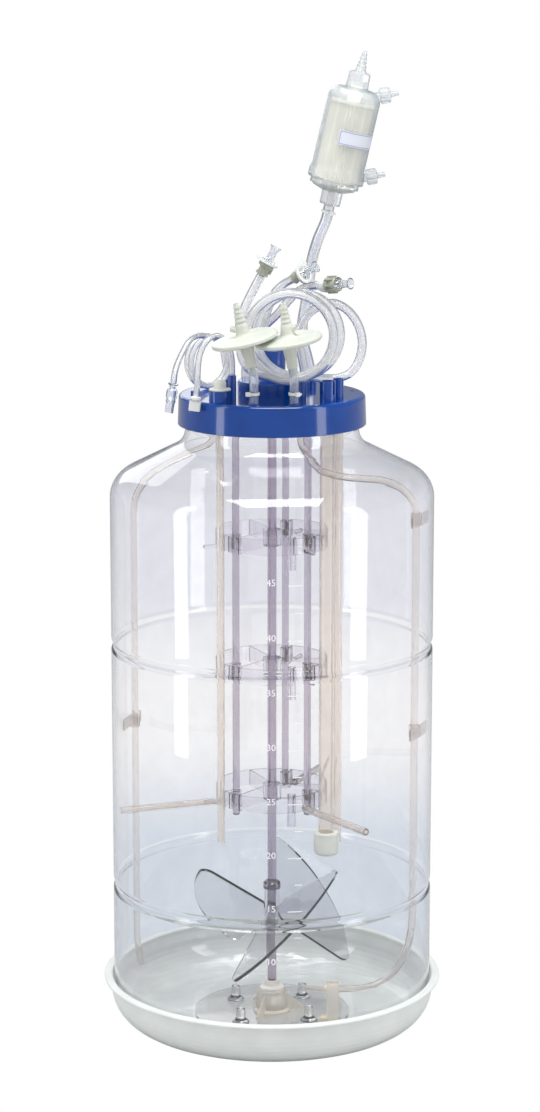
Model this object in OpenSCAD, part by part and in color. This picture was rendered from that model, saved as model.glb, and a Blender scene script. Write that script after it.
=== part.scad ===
// Single-use bench bioreactor: a clear cylindrical vessel in a white tray, closed by a blue
// headplate with a shaft-driven pitched-blade impeller, gas filters, tubing and connectors.
// Millimetres, +Z up, origin at the centre of the tray's underside, front of the vessel at -Y.

/* [Vessel] */
// Outer diameter of the vessel body
vessel_d = 342; // [300:1:420]
// Height of the shoulder's start, where the straight wall ends
shoulder_z = 577; // [500:1:680]
// Wall thickness of the vessel
vessel_wall = 3; // [2:0.25:4]
// Radius between the wall and the floor
floor_fillet = 36.5; // [30:0.5:60]
// Slope of the shoulder cone in degrees
shoulder_slope = 26.5; // [20:0.5:32]
// Height of the lower stiffening groove
groove_low_z = 157; // [120:1:220]
// Height of the upper stiffening groove
groove_high_z = 420; // [350:1:480]
// Depth of the stiffening grooves
groove_depth = 2.4; // [1:0.1:4]
// Outer radius of the neck
neck_r = 91.5; // [85:0.5:100]

/* [Tray] */
// Thickness of the formed tray
tray_wall = 2; // [1.5:0.25:3]
// Height of the tray rim
tray_h = 53; // [45:1:70]
// Width of the rim's outward lip
tray_lip = 5.5; // [3:0.5:10]
// Clearance between the tray and the vessel wall
tray_gap = 1; // [0.5:0.25:4]

/* [Headplate] */
// Depth of the skirt that laps over the neck
skirt_h = 26; // [20:1:40]
// Thickness of the top plate
plate_t = 6; // [4:0.5:10]
// Thickness of the skirt
skirt_t = 6.5; // [4:0.5:10]
// Radius of the raised centre that covers the magnet cup
drum_r = 36; // [33:0.5:40]
// Height of the raised centre above the plate
drum_h = 14; // [8:1:24]
// Outer radius of the drive hub
hub_r = 14.2; // [12:0.1:15]
// Radius of the drive socket in the hub
socket_r = 11.5; // [8:0.1:12.5]
// Height of the hub above the raised centre
hub_h = 32; // [20:1:44]
// Radius of the sensor port's bore
probe_bore_r = 6.5; // [5:0.1:7]

/* [Agitator] */
// Diameter of the shaft
shaft_d = 9.5; // [8:0.1:12]
// Tip radius of the impeller
impeller_r = 84; // [60:1:100]
// Height of the impeller's centre plane above the standing surface
impeller_z = 121; // [110:1:200]
// Pitch of the blades in degrees
blade_pitch = 45; // [30:1:50]
// Half chord of a blade at its tip
blade_tip = 86; // [50:1:90]
// Thickness of a blade
blade_t = 3; // [2:0.25:4]
// Number of blades
blade_n = 3; // [2:1:4]

/* [Frame] */
// Radius of the round spiders that steady the shaft
spider_r = 60; // [56:0.5:66]
// Height of a spider's band
spider_h = 17; // [12:1:24]
// Thickness of the spiders' bands and webs
spider_wall = 1.6; // [1.2:0.1:3]
// Diameter of the support rods
rod_d = 7.5; // [6:0.1:9]
// Top edges of the three spiders
spider_tops = [263, 402, 541];
// Outer diameter of the stay arms
arm_d = 7.8; // [6:0.1:9]
// Outer diameter of the lines along the wall
line_d = 7.5; // [6:0.1:9]

/* [Filters and tubing] */
// Radius of the disc vent filters
vent_r = 34.5; // [25:0.5:38]
// Outer radius of the capsule filter's shell
capsule_r = 27.5; // [24:0.5:32]
// Length of the capsule filter's straight shell
capsule_l = 70; // [50:1:90]
// Outer diameter of the main hoses
hose_d = 9.5; // [8:0.1:11]
// Outer diameter of the thin hoses
thin_hose_d = 6.4; // [5:0.1:7]
// Outer diameter of the exhaust hose
exhaust_d = 11.5; // [10:0.1:13]

/* [Hidden] */
$fn = 96;
SWEEP_SIDES = 10;

// Clearances
fit = 0.05;           // between pieces pushed into each other
loose = 0.3;          // between pieces that stay apart
eps = 0.01;

// Vessel
vessel_r = vessel_d / 2;
base_z = tray_wall;                         // underside of the vessel, on the tray's floor
floor_z = base_z + vessel_wall;             // inside of the vessel's floor
inner_r = vessel_r - vessel_wall;
neck_in_r = neck_r - vessel_wall;
shoulder_r = 32;                            // outer radius of the rounded shoulder
neck_fillet = 20;                           // outer radius where the shoulder turns up into the neck
shoulder_x = vessel_r - shoulder_r;
cone_top_r = neck_r + neck_fillet * (1 - cos(90 - shoulder_slope));
cone_foot = [shoulder_x + shoulder_r * cos(90 - shoulder_slope),
             shoulder_z + shoulder_r * sin(90 - shoulder_slope)];
cone_top_z = cone_foot[1] + (cone_foot[0] - cone_top_r) * tan(shoulder_slope);
neck_foot_z = cone_top_z + neck_fillet * sin(90 - shoulder_slope);
neck_top_z = neck_foot_z + 29.3;
line_r = inner_r - groove_depth - line_d / 2 - 0.6;    // where the wall lines run, inside the grooves

// Headplate
seal_t = 2;
plate_z = neck_top_z + seal_t;              // underside of the top plate
lid_z = plate_z + plate_t;                  // top of the plate
lid_r = neck_r + 1 + skirt_t;               // outside of the skirt
drum_z = lid_z + drum_h;
hub_z = drum_z + hub_h;
drum_wall = 4;
thimble_z = plate_z - 8;                    // bottom of the drive socket's thimble
pivot_r = 3;
pivot_h = 8.7;
socket_depth = 12;                          // depth of the tube sockets under the plate

// Agitator
shaft_r = shaft_d / 2;
cup_floor_z = thimble_z - pivot_h - 4.3;    // underside of the magnet cup's floor
cup_floor_t = 8;
cup_r = drum_r - drum_wall - 2.5;
cup_h = 28;
bush_r = 5;
foot_z = floor_z + 2.5;                     // top of the foot plate
foot_plate_r = 84;
peg_ring_r = 52;                            // where the foot plate's pegs stand
foot_h = 24;                                // height of the foot bearing
bush_top_z = foot_z + foot_h + 10;
shaft_foot_z = bush_top_z - 10;             // lower end of the shaft, in the foot bush
shaft_top_z = cup_floor_z + cup_floor_t - 2;
impeller_hub_r = 8.3;
impeller_hub_h = 50;
collar_h = 8;

// Frame: support rods hang from the headplate and carry the spiders
rod_r = rod_d / 2;
rods = [[-38, -28], [37.5, -28], [14.5, 45]];
rod_ends = [236, 236, 249];
spider_hub_r = shaft_r + loose + 4.8;
web_angles = [-126, 114, -6];
stub_angles = [200, -55, 65];
stub_r = 2;
stub_l = 16;
arm_drop = 8;                               // arms below the lower spider's top edge
arm_z = spider_tops[0] - arm_drop - 6;

// Tubes that hang in the vessel, by their place on the headplate
septum_at = [-53.5, -62];
probe_at = [57.5, -54];
well_at = [68.7, -38];
guide_at = [20.6, -46];                     // short guide tube under each spider
septum_tube_r = 4;
probe_tube_r = 8.3;
well_tube_r = 4.75;
guide_r = 4.5;
guide_drop = 17.5;                          // how far a guide reaches below its band
tube_foot_z = 215;                          // open ends of the septum tube and the sensor sleeve
well_foot_z = 210;
sleeve_cap_r = 13.2;

// Ports for hoses on the headplate
filter_at = [[-18.5, -83], [22.5, -82]];
filter_lean = [[14.3, 200.6], [9.7, 211]];  // lean of each vent filter and the direction it leans to
filter_side = [-20, 130];                   // way that each one's side port points
sleeve_bend_z = lid_z + 26;
sleeve_bend_r = 20;
sleeve_top = 9;
barb_r = 3.4;
main_port = [34, 27];
middle_port = [-6, 44];
right_port = [-28, 52];
exhaust_port = [40, 42];
thin_port = [-48, 46.7];
tall_port = [-41.5, -30];
spare_port = [31, -49];
port_h = 8;                                 // height of the plain hose ports
tall_port_h = 23;
port_top = lid_z + port_h;

// The hoses and what hangs on them are placed for a plate with its top at routes_lid_z, and are
// lifted with the plate when the vessel's sizes change
routes_lid_z = 686.115814;
hose_lift = lid_z - routes_lid_z;
function lifted(p) = p + [0, 0, hose_lift];
function all_lifted(points) = [for (p = points) lifted(p)];

// Septum port
septum_boss_r = 11.4;
septum_boss_h = 12;
septum_plug_r = 5.5;

// Capsule filter, carried on the exhaust hose
capsule_at = lifted([59.8, 14, 881.8]);     // lower end of its neck
capsule_lean = 12.9;
valve_rise = 22.4;                          // how far the vent valves point up from square
valve_faces = [[capsule_r + 3.3, 36, 9], [capsule_r - 2.3, 120.3, 16]];   // [out, along, length of the stub]

// Coils of the long hoses: [centre, mean radius, turns]
coil_front = lifted([18.6, -34, 750.1]);
coil_rear = lifted([27, -19.6, 750.1]);
coil_r = 45;
coil_rear_r = 44;
thin_coil = lifted([-68, 30, 715.6]);
thin_coil_r = 26;
thin_coil_turn = 40;                        // how far the thin coil is turned from facing -Y

// Ends of the connectors: [hose end, far end]
left_ends = all_lifted([[-11, -29, 813.6], [4, -29, 841.6]]);
middle_ends = all_lifted([[23, 7, 806], [44, -10, 819]]);
right_ends = all_lifted([[50, 2, 799], [77, -20, 803]]);
quick_ends = all_lifted([[-102, -38, 702], [-107, -38, 671]]);
plug_ends = all_lifted([[-78, -70, 693], [-80, -70, 678]]);
barrel_l = 10;                              // white barrel of the right-hand connector
capsule_ends = [capsule_at, capsule_at + [sin(capsule_lean), 0, cos(capsule_lean)]];

// The last two points of a hose, square to the end it is pushed against
function lead(ends, d) = [ends[0] - d * (ends[1] - ends[0]) / norm(ends[1] - ends[0]), ends[0]];

// Hand-picked routes of the hoses, one ring of the tube at each point
function route(start, points, end = []) = concat([start], all_lifted(points), end);
main_feed = route([34, 27, port_top], [[34, 27, 705], [31.5, 25, 720], [28.5, 22, 736], [30, 19, 752],
    [37, 16, 766], [50, 14, 776], [65, 12, 779], [79, 10, 772], [90, 8, 757], [94.5, 6, 738],
    [91, 4, 720], [82, 1, 707.5], [68, -3.5, 702.5], [54, -7.5, 702.5], [46, -9.5, 704], [38.4, -10.5, 707.5],
    [23, -15, 706.4], [8, -19.6, 710]]);
main_tail = concat(all_lifted([[-12, -40, 708.5], [-23, -36, 716.5], [-32, -34, 732], [-34.5, -34, 748],
    [-33.5, -33.8, 762], [-29.5, -33, 776], [-24, -31, 789]]), lead(left_ends, 15));
middle_route = route([-6, 44, port_top], [[-6, 44, 704], [-7, 42, 718], [-9, 36, 734], [-9, 29, 750],
    [-6, 24, 766], [-1, 22, 780], [5, 19, 792]], lead(middle_ends, 12));
right_route = route([-28, 52, port_top], [[-28, 52, 704], [-26, 50, 720], [-19, 46, 736], [-8, 40.5, 751],
    [6, 30, 766], [16, 24, 779], [26, 19.5, 790]], lead(right_ends, 14));
exhaust_route = route([40, 42, port_top], [[40, 42, 706], [37, 40, 720], [33, 37, 736], [32, 33, 754],
    [35, 31, 774], [38.5, 28, 797], [41.5, 22.5, 822], [48, 17, 846]], lead(capsule_ends, 16));
thin_start = route([-48, 46.7, port_top], [[-48, 46.7, 702], [-50, 49, 712]]);
thin_tail = concat(all_lifted([[-62, 22.5, 741.6], [-70, 15.5, 744], [-78, 6, 745.5], [-86, -4, 742],
    [-93, -16, 731.5], [-98.5, -28, 719]]), lead(quick_ends, 8));
plug_route = route([tall_port[0], tall_port[1], lid_z + tall_port_h], [[tall_port[0], tall_port[1], 717],
    [-42, -31, 727], [-44, -33.5, 737], [-48.5, -38, 746], [-55, -44, 751.5], [-62.5, -51, 751.5],
    [-69, -57, 746], [-73.5, -62, 737], [-75.7, -66, 726], [-76.4, -69, 714]], lead(plug_ends, 10));

// Lines held along the wall, from their sockets in the headplate down to the floor
bracket_at = [65.5, -34];
bracket_line_z = 43;
sparge_wall = line_r * [cos(-23.4), sin(-23.4)];
harvest_wall = line_r * [cos(158.9), sin(158.9)];
sparge_route = [[27, -35, plate_z], [27, -35, 652], [31, -42, 636], [40, -55, 622], [50, -66, 613.5],
    [64, -71, 609.5], [80, -71, 607], [96, -69, 605.5], [111, -66.5, 604], [123, -64.5, 600.5],
    [133, -64, 595.5], [140.3, -64, 588.5], [145.3, -64, 580.5],
    [sparge_wall[0], sparge_wall[1], 571.5], [sparge_wall[0], sparge_wall[1], 140],
    [147, -63.5, 120], [144, -61.5, 101], [138.5, -58.5, 84], [130.5, -54, 69.5], [120.5, -48.5, 58],
    [109, -43, 50], [97, -38.5, 45.5], [86, -35.5, 43.5], [77, bracket_at[1], bracket_line_z],
    [bracket_at[0] + 4, bracket_at[1], bracket_line_z]];
harvest_route = [[-58, 18, plate_z], [-58, 18, 650], [-60, 20, 637], [-69, 26, 626], [-83, 34, 618],
    [-99, 41, 610.5], [-115, 47, 602], [-128, 51.5, 593], [-138, 54.5, 583], [-144.5, 56.5, 572],
    [-148.6, 57.6, 560], [harvest_wall[0], harvest_wall[1], 548], [harvest_wall[0], harvest_wall[1], 70],
    [-148.5, 57.4, 55], [-145.5, 56.5, 40]];
clip_h = 12;
clip_w = 46;                                // width of a clip's pad along the wall
sparge_clips = [564, 338];                  // middles of the clips
harvest_clips = [317];

// ---------------------------------------------------------------- helpers

// Points on an arc about [x, y], from angle a0 to a1
function arc(x, y, r, a0, a1, n = 8) =
    [for (i = [0:n]) let (a = a0 + (a1 - a0) * i / n) [x + r * cos(a), y + r * sin(a)]];

function unit(v) = v / norm(v);

// Corner points of an outline rounded to radius r, for corners turning left
function rounded(pts, r, n = 6) = [for (i = [0:len(pts) - 1])
    let (p = pts[i], a = unit(pts[(i + len(pts) - 1) % len(pts)] - p), b = unit(pts[(i + 1) % len(pts)] - p),
         half = acos(a * b) / 2, c = p + unit(a + b) * r / sin(half),
         a0 = atan2(-a[0], a[1]) + 180, turn = 180 - 2 * half)
    for (k = [0:n]) c + r * [cos(a0 - 0 + turn * k / n), sin(a0 + turn * k / n)]];

// Moves children so that their +Z runs from p towards q
module aim(p, q) {
    d = q - p;
    translate(p) rotate([0, acos(d[2] / norm(d)), atan2(d[1], d[0])]) children();
}

module at(p, z = 0) { translate([p[0], p[1], z]) children(); }

module tube(r_out, r_in, h) {
    difference() {
        cylinder(r = r_out, h = h);
        translate([0, 0, -eps]) cylinder(r = r_in, h = h + 2 * eps);
    }
}

// Directions of travel at each point of a route
function headings(p) = [for (i = [0:len(p) - 1])
    unit(unit(p[min(i + 1, len(p) - 1)] - p[max(i - 1, 0)])
       + (i == 0 || i == len(p) - 1 ? [0, 0, 0] : unit(p[i + 1] - p[i]) + unit(p[i] - p[i - 1])))];

// A sideways vector at each point, carried along the route without twisting
function sideways(t) = [for (i = 0, n = unit(cross(t[0], [0.31, 0.9, 0.3])); i < len(t);
    i = i + 1, n = i < len(t) ? unit(n - (n * t[i]) * t[i]) : n) n];

// A round tube of radius r along a route, one ring of sides at each point
module sweep(path, r, sides = SWEEP_SIDES) {
    t = headings(path);
    u = sideways(t);
    m = len(path);
    points = [for (i = [0:m - 1]) let (v = cross(t[i], u[i])) for (k = [0:sides - 1])
        path[i] + r * (cos(360 * k / sides) * u[i] + sin(360 * k / sides) * v)];
    walls = [for (i = [0:m - 2]) for (k = [0:sides - 1])
        let (a = i * sides + k, b = i * sides + (k + 1) % sides)
        for (f = [[a, a + sides, b + sides], [a, b + sides, b]]) f];
    ends = [[for (k = [0:sides - 1]) k], [for (k = [sides - 1:-1:0]) (m - 1) * sides + k]];
    polyhedron(points, concat(walls, ends), convexity = 6);
}

// Outline of a hose barb, from its root at the bottom to its tip: n sloping steps on a core
function barb_steps(r, z, pitch, n, shrink = 0) = [for (i = [0:n - 1])
    let (s = r - shrink * i) for (p = [[s, z + pitch * i], [s * 0.8 - shrink, z + pitch * (i + 1) - 0.3]]) p];

// A ring around the Y axis: the outer shape of turns of hose side by side
module coil_ring(centre, r, d, turns, turn = 0) {
    half = d * turns / 2;
    translate(centre) rotate([0, 0, turn]) rotate([90, 0, 0]) rotate_extrude()
        polygon(concat(arc(r + d / 2 - 2, half - 2, 2, 0, 90, 3), arc(r - d / 2 + 2, half - 2, 2, 90, 180, 3),
            arc(r - d / 2 + 2, 2 - half, 2, 180, 270, 3), arc(r + d / 2 - 2, 2 - half, 2, 270, 360, 3)));
}

// ---------------------------------------------------------------- tray and vessel

// Tray: flat floor, rounded corner, slightly flared wall and an outward lip
module base_tray() {
    wall_r = vessel_r + tray_gap + tray_wall;
    corner = floor_fillet + 0.5 + tray_wall;
    foot_r = wall_r - corner;
    rim_r = wall_r + 1.5;
    color("whitesmoke") rotate_extrude() polygon(concat([[0, 0]],
        arc(foot_r, corner, corner, -90, 0, 10),
        [[rim_r, tray_h - 5], [rim_r + tray_lip - 1, tray_h - 4]],
        arc(rim_r + tray_lip - 1.2, tray_h - 2, 2, -70, 90, 5),
        [[rim_r - tray_wall + 1, tray_h]],
        arc(rim_r - tray_wall + 0.8, tray_h - 1.6, 1.2, 90, 150, 2),
        [[rim_r - tray_wall, tray_h - 6]],
        arc(foot_r, corner, corner - tray_wall, 0, -90, 10), [[0, tray_wall]]));
}

// Groove rolled into the wall: its depth falls off as a cosine over 7 mm each way
groove_w = 7;
function groove(z0, r, up) = [for (i = [-6:6]) let (k = up ? i : -i)
    [r - groove_depth * (1 + cos(180 * k / 6)) / 2, z0 + groove_w * k / 6]];

// One side of the vessel's wall, from the floor up, or from the neck down; t is its distance
// inside the outer surface
function vessel_side(t) = concat([[0, base_z + t]],
    arc(vessel_r - floor_fillet, base_z + floor_fillet, floor_fillet - t, -90, 0, 9),
    groove(groove_low_z, vessel_r - t, true), groove(groove_high_z, vessel_r - t, true),
    arc(shoulder_x, shoulder_z, shoulder_r - t, 0, 90 - shoulder_slope, 7),
    arc(neck_r + neck_fillet, neck_foot_z, neck_fillet + t, 270 - shoulder_slope, 180, 6),
    [[neck_r - t, neck_top_z]]);

module vessel() {
    outer = vessel_side(0);
    inner = vessel_side(vessel_wall);
    color([0.85, 0.9, 0.95, 0.35]) rotate_extrude()
        polygon(concat(outer, [for (i = [len(inner) - 1:-1:0]) inner[i]]));
}

// ---------------------------------------------------------------- headplate

module port_boss(p, r, h) { at(p, lid_z - eps) cylinder(r = r, h = h + eps); }

// Ring under the plate that a tube's upper end seats in
module tube_socket(p, r, wall = 1.8) {
    at(p, plate_z - socket_depth) cylinder(r = r + wall, h = socket_depth + eps);
}

module tube_seat(p, r) { at(p, plate_z - socket_depth - eps) cylinder(r = r + fit, h = socket_depth + eps); }

module headplate() {
    skirt_z = plate_z + plate_t - skirt_h - 6;
    color("#114d9b") difference() {
        union() {
            rotate_extrude() polygon(concat(
                [[lid_r - skirt_t, skirt_z], [lid_r - 0.6, skirt_z], [lid_r, skirt_z + 0.6]],
                arc(lid_r - 5, lid_z - 4, 4, 0, 90, 6),
                [[0, lid_z], [0, plate_z], [lid_r - skirt_t, plate_z]]));
            translate([0, 0, plate_z - 22]) rotate_extrude() polygon(concat([[0, 0], [drum_r, 0]],
                arc(drum_r - 2, drum_z - plate_z + 20, 2, 0, 90, 4), [[0, drum_z - plate_z + 22]]));
            translate([0, 0, drum_z - eps]) rotate_extrude() polygon(concat([[0, 0]],
                arc(hub_r + 2.5, 2.5, 2.5, 270, 180, 4), arc(hub_r - 1, hub_h - 1, 1, 0, 90, 3),
                [[0, hub_h]]));
            port_boss(septum_at, septum_boss_r, septum_boss_h);
            port_boss(probe_at, 8.4, 20.5);
            port_boss(well_at, 5.4, 21);
            port_boss(spare_port, 4.2, 19);
            port_boss(tall_port, 4.3, tall_port_h);
            for (p = [main_port, middle_port, right_port]) port_boss(p, hose_d / 2 + 1.2, port_h);
            port_boss(exhaust_port, exhaust_d / 2 + 1.2, port_h);
            port_boss(thin_port, thin_hose_d / 2 + 1.2, port_h);
            for (p = filter_at) at(p, lid_z - eps) rotate_extrude() polygon(concat([[0, 0], [barb_r + 2.6, 0],
                [barb_r + 2.2, 1.2], [barb_r - 0.3, 1.6]], barb_steps(barb_r, 4, 5, 2),
                [[barb_r - 0.7, 14], [0, 14]]));
            translate([-84.5, -27, lid_z - eps]) cube([3, 4, 6]);
            tube_socket(septum_at, septum_tube_r);
            tube_socket(probe_at, probe_tube_r, 0.95);
            tube_socket(well_at, well_tube_r);
            for (p = rods) tube_socket(p, rod_r, 2);
            tube_socket(sparge_route[0], line_d / 2);
            tube_socket(harvest_route[0], line_d / 2);
        }
        // hollow for the magnet cup, round the thimble that holds the drive socket
        translate([0, 0, plate_z - 22 - eps]) difference() {
            cylinder(r = drum_r - drum_wall, h = drum_z - plate_z + 22 - drum_wall);
            translate([0, 0, 22 - plate_z + thimble_z]) cylinder(r = hub_r, h = 80);
            translate([0, 0, 22 - plate_z + thimble_z - pivot_h]) cylinder(r = pivot_r, h = 40);
        }
        translate([0, 0, thimble_z + 3]) cylinder(r = socket_r, h = 100);
        at(septum_at, plate_z - eps) cylinder(r = septum_plug_r + loose / 3, h = 40);
        at(septum_at, plate_z - socket_depth - eps) cylinder(r = septum_tube_r + fit, h = socket_depth + eps);
        at(probe_at, plate_z - eps) cylinder(r = probe_bore_r, h = 40);
        for (a = [45, 135]) at(probe_at, lid_z + 7) rotate([0, 0, a])
            translate([-10, -1, 0]) cube([20, 2, 40]);
        at(well_at, plate_z - eps) cylinder(r = 3.2, h = 40);
        at(spare_port, lid_z + 4) cylinder(r = 2.2, h = 40);
        at(tall_port, lid_z + 10) cylinder(r = 1.8, h = tall_port_h);
        tube_seat(probe_at, probe_tube_r);
        tube_seat(well_at, well_tube_r);
        for (p = rods) tube_seat(p, rod_r);
        tube_seat(sparge_route[0], line_d / 2);
        tube_seat(harvest_route[0], line_d / 2);
        for (p = filter_at) at(p, plate_z - eps) cylinder(r = 1.8, h = 60);
        translate([84.3, 15, lid_z - 1]) cylinder(r = 2, h = 4);
    }
}

module neck_seal() {
    color("silver") at([0, 0], neck_top_z) tube(neck_r, neck_in_r, seal_t);
}

// ---------------------------------------------------------------- agitator

// Cup of magnets that turns round the thimble, driven through it from the socket
module magnet_cup() {
    color("dimgray") translate([0, 0, cup_floor_z]) difference() {
        union() {
            cylinder(r = cup_r, h = cup_h);
            translate([0, 0, -14]) cylinder(r = shaft_r + 4, h = 14 + eps);
        }
        translate([0, 0, cup_floor_t]) cylinder(r = hub_r + 2.3, h = cup_h);
        translate([0, 0, cup_floor_t - 4]) cylinder(r = bush_r + fit, h = 10);
        translate([0, 0, -14 - eps]) cylinder(r = shaft_r + fit, h = cup_floor_t + 8);
    }
}

// Bush in the cup's floor that runs on the thimble's pivot
module pivot_bush() {
    color("ivory") translate([0, 0, cup_floor_z + cup_floor_t - 4]) tube(bush_r, pivot_r + fit, 6);
}

module agitator_shaft() {
    color("#8d7f97") translate([0, 0, shaft_foot_z]) rotate_extrude() polygon([[0, 0], [shaft_r - 1, 0],
        [shaft_r, 1], [shaft_r, cup_floor_z - shaft_foot_z + 1.5], [0, cup_floor_z - shaft_foot_z + 1.5]]);
}

// Outline of a flat blade: it widens from the root to both rounded tip corners, and runs on past the
// swept tip, which trims it
function blade_outline() = let (
    reach = sqrt(impeller_r * impeller_r - pow(blade_tip * cos(blade_pitch), 2)),
    slope = blade_tip * pow(cos(blade_pitch), 2) / reach,      // of the swept tip where it meets the edges
    corner = rounded([[6, 16], [6, -16], [reach, -blade_tip], [reach + slope * blade_tip, 0],
        [reach, blade_tip]], 9))
    [for (i = [0:len(corner) - 1]) if (i > 13) corner[i]];

module blade() {
    root = 16;
    intersection() {
        rotate([blade_pitch, 0, 0]) translate([0, 0, -blade_t / 2]) linear_extrude(blade_t)
            polygon(concat([[6, root], [6, -root]], blade_outline()));
        cylinder(r = impeller_r, h = 400, center = true);
    }
}

module impeller() {
    color([0.75, 0.8, 0.85, 0.6]) translate([0, 0, impeller_z]) difference() {
        union() {
            translate([0, 0, -impeller_hub_h / 2]) cylinder(r = impeller_hub_r, h = impeller_hub_h);
            for (i = [0:blade_n - 1]) rotate([0, 0, 43.7 + 360 * i / blade_n]) blade();
        }
        cylinder(r = shaft_r + fit, h = 200, center = true);
    }
}

// Split collar that keeps the impeller down on the shaft
module shaft_collar() {
    color("#8d7f97") translate([0, 0, impeller_z + impeller_hub_h / 2]) difference() {
        rotate_extrude() polygon([[0, 0], [impeller_hub_r + 1, 0], [impeller_hub_r + 1, collar_h - 2],
            [shaft_r + 2.5, collar_h], [0, collar_h]]);
        translate([0, 0, -eps]) cylinder(r = shaft_r + fit, h = collar_h + 1);
        translate([0, -0.8, -eps]) cube([30, 1.6, collar_h + 1]);
    }
}

// Clear disc on the vessel's floor, with four locating pegs
module foot_plate() {
    color([0.85, 0.9, 0.95, 0.5]) translate([0, 0, floor_z]) {
        cylinder(r = foot_plate_r, h = foot_z - floor_z);
        for (a = [50:90:320]) rotate([0, 0, a]) translate([peg_ring_r, 0, foot_z - floor_z - eps])
            rotate_extrude() polygon(concat([[0, 0], [9.3, 0], [9.3, 1.2], [6.6, 3], [5.2, 4.6], [4.7, 13.5]],
                arc(2.7, 14, 2, 0, 90, 4), [[0, 16]]));
    }
}

// Tapered tower on three gussets
module foot_bearing() {
    color("wheat") translate([0, 0, foot_z]) difference() {
        union() {
            rotate_extrude() polygon([[0, 0], [20.5, 0], [20.5, 2], [18, 4], [15.4, foot_h - 1],
                [14.4, foot_h],
                [0, foot_h]]);
            for (a = [3:120:243]) rotate([90, 0, a]) translate([0, 0, -1.2]) linear_extrude(2.4)
                polygon([[10, 0], [36, 0], [36, 1.6], [16, foot_h - 5], [10, foot_h - 5]]);
        }
        translate([0, 0, foot_h - 6]) cylinder(r = 9, h = 20);
    }
}

// Pale cup that the shaft's end runs in
module foot_bush() {
    color("ivory") difference() {
        translate([0, 0, foot_z + foot_h - 6]) rotate_extrude() polygon([[0, 0], [9 - fit, 0], [9 - fit, 6],
            [13, 6], [13, 8.5], [8.4, 10.5], [7.4, bush_top_z - foot_z - foot_h + 6],
            [0, bush_top_z - foot_z - foot_h + 6]]);
        translate([0, 0, shaft_foot_z - loose]) cylinder(r = shaft_r + fit, h = 50);
    }
}

// ---------------------------------------------------------------- frame in the vessel

// Plan of a spider: round band, hub for the shaft, three webs, a ribbed pocket for each rod and a guide
module spider_plan() {
    difference() {
        union() {
            difference() {
                circle(r = spider_r);
                circle(r = spider_r - spider_wall);
            }
            circle(r = spider_hub_r);
            for (a = web_angles) rotate(a) translate([spider_hub_r - 1, -spider_wall / 2])
                square([spider_r - spider_hub_r - spider_wall / 2 + 1, spider_wall]);
            for (p = rods) translate(p) {
                circle(r = rod_r + 1.8);
                rotate(atan2(p[1], p[0])) for (s = [-1, 1]) translate([0, s * (rod_r + 0.3) - spider_wall / 2])
                    square([spider_r - norm(p) - 1.2, spider_wall]);
            }
            translate(guide_at) {
                circle(r = guide_r);
                rotate(atan2(guide_at[1], guide_at[0])) translate([0, -spider_wall / 2])
                    square([spider_r - norm(guide_at) - 0.8, spider_wall]);
            }
        }
        translate(guide_at) circle(r = guide_r - 1.1);
        circle(r = shaft_r + loose);
        for (p = rods) translate(p) circle(r = rod_r + fit);
    }
}

module spider(top) {
    color("#9b90a5") translate([0, 0, top - spider_h]) {
        linear_extrude(spider_h) spider_plan();
        at(guide_at, -guide_drop) tube(guide_r, guide_r - 1.1, guide_drop + eps);
        for (a = stub_angles) rotate([0, 0, a])
            translate([spider_r - spider_wall / 2, 0, spider_h - arm_drop - 6])
            rotate([0, 90, 0]) cylinder(r = stub_r, h = stub_l + spider_wall / 2);
    }
}

module spider_upper() { spider(spider_tops[2]); }
module spider_middle() { spider(spider_tops[1]); }
module spider_lower() { spider(spider_tops[0]); }

module support_rod(i) {
    color("#9b90a5") at(rods[i], rod_ends[i]) rotate_extrude() polygon([[0, 0], [rod_r - 1, 0], [rod_r, 1],
        [rod_r, plate_z - rod_ends[i]], [0, plate_z - rod_ends[i]]]);
}

module support_rod_front_left() { support_rod(0); }
module support_rod_front_right() { support_rod(1); }
module support_rod_rear() { support_rod(2); }

// Tube pushed onto a stub pin, reaching to the vessel's wall
module stay_arm(i) {
    color("#cdbcaf") translate([0, 0, spider_tops[0] - arm_drop - 6]) rotate([0, 0, stub_angles[i]])
        translate([spider_r + fit, 0, 0]) rotate([0, 90, 0])
            tube(arm_d / 2, stub_r + fit, inner_r - 0.5 - spider_r);
}

module stay_arm_left() { stay_arm(0); }
module stay_arm_right() { stay_arm(1); }
module stay_arm_rear() { stay_arm(2); }

module septum_tube() {
    color("#e6d8cb") at(septum_at, tube_foot_z)
        tube(septum_tube_r, septum_tube_r - 1.1, plate_z - tube_foot_z);
}

module probe_sleeve() {
    color("#e6d8cb") at(probe_at, tube_foot_z) tube(probe_tube_r, probe_bore_r + 0.3, plate_z - tube_foot_z);
}

// Soft cap with a rounded bottom over the sensor sleeve's lower end
module probe_sleeve_cap() {
    color("#c9cbc2") at(probe_at, tube_foot_z - 15) difference() {
        rotate_extrude() polygon(concat([[0, 0]], arc(sleeve_cap_r - 5, 5, 5, -90, 0, 5),
            [[sleeve_cap_r, 22]], arc(sleeve_cap_r - 1.5, 23.5, 1.5, 0, 90, 3), [[0, 25]]));
        translate([0, 0, 15]) cylinder(r = probe_tube_r + fit, h = 20);
    }
}

module thermowell() {
    color("#eadfd4") at(well_at, well_foot_z) difference() {
        cylinder(r = well_tube_r, h = plate_z - well_foot_z);
        translate([0, 0, 3]) cylinder(r = 3.2, h = 600);
    }
}

module sparge_line() { color("#d9c9bb") sweep(sparge_route, line_d / 2); }

module harvest_line() { color("#d9c9bb") sweep(harvest_route, line_d / 2); }

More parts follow.
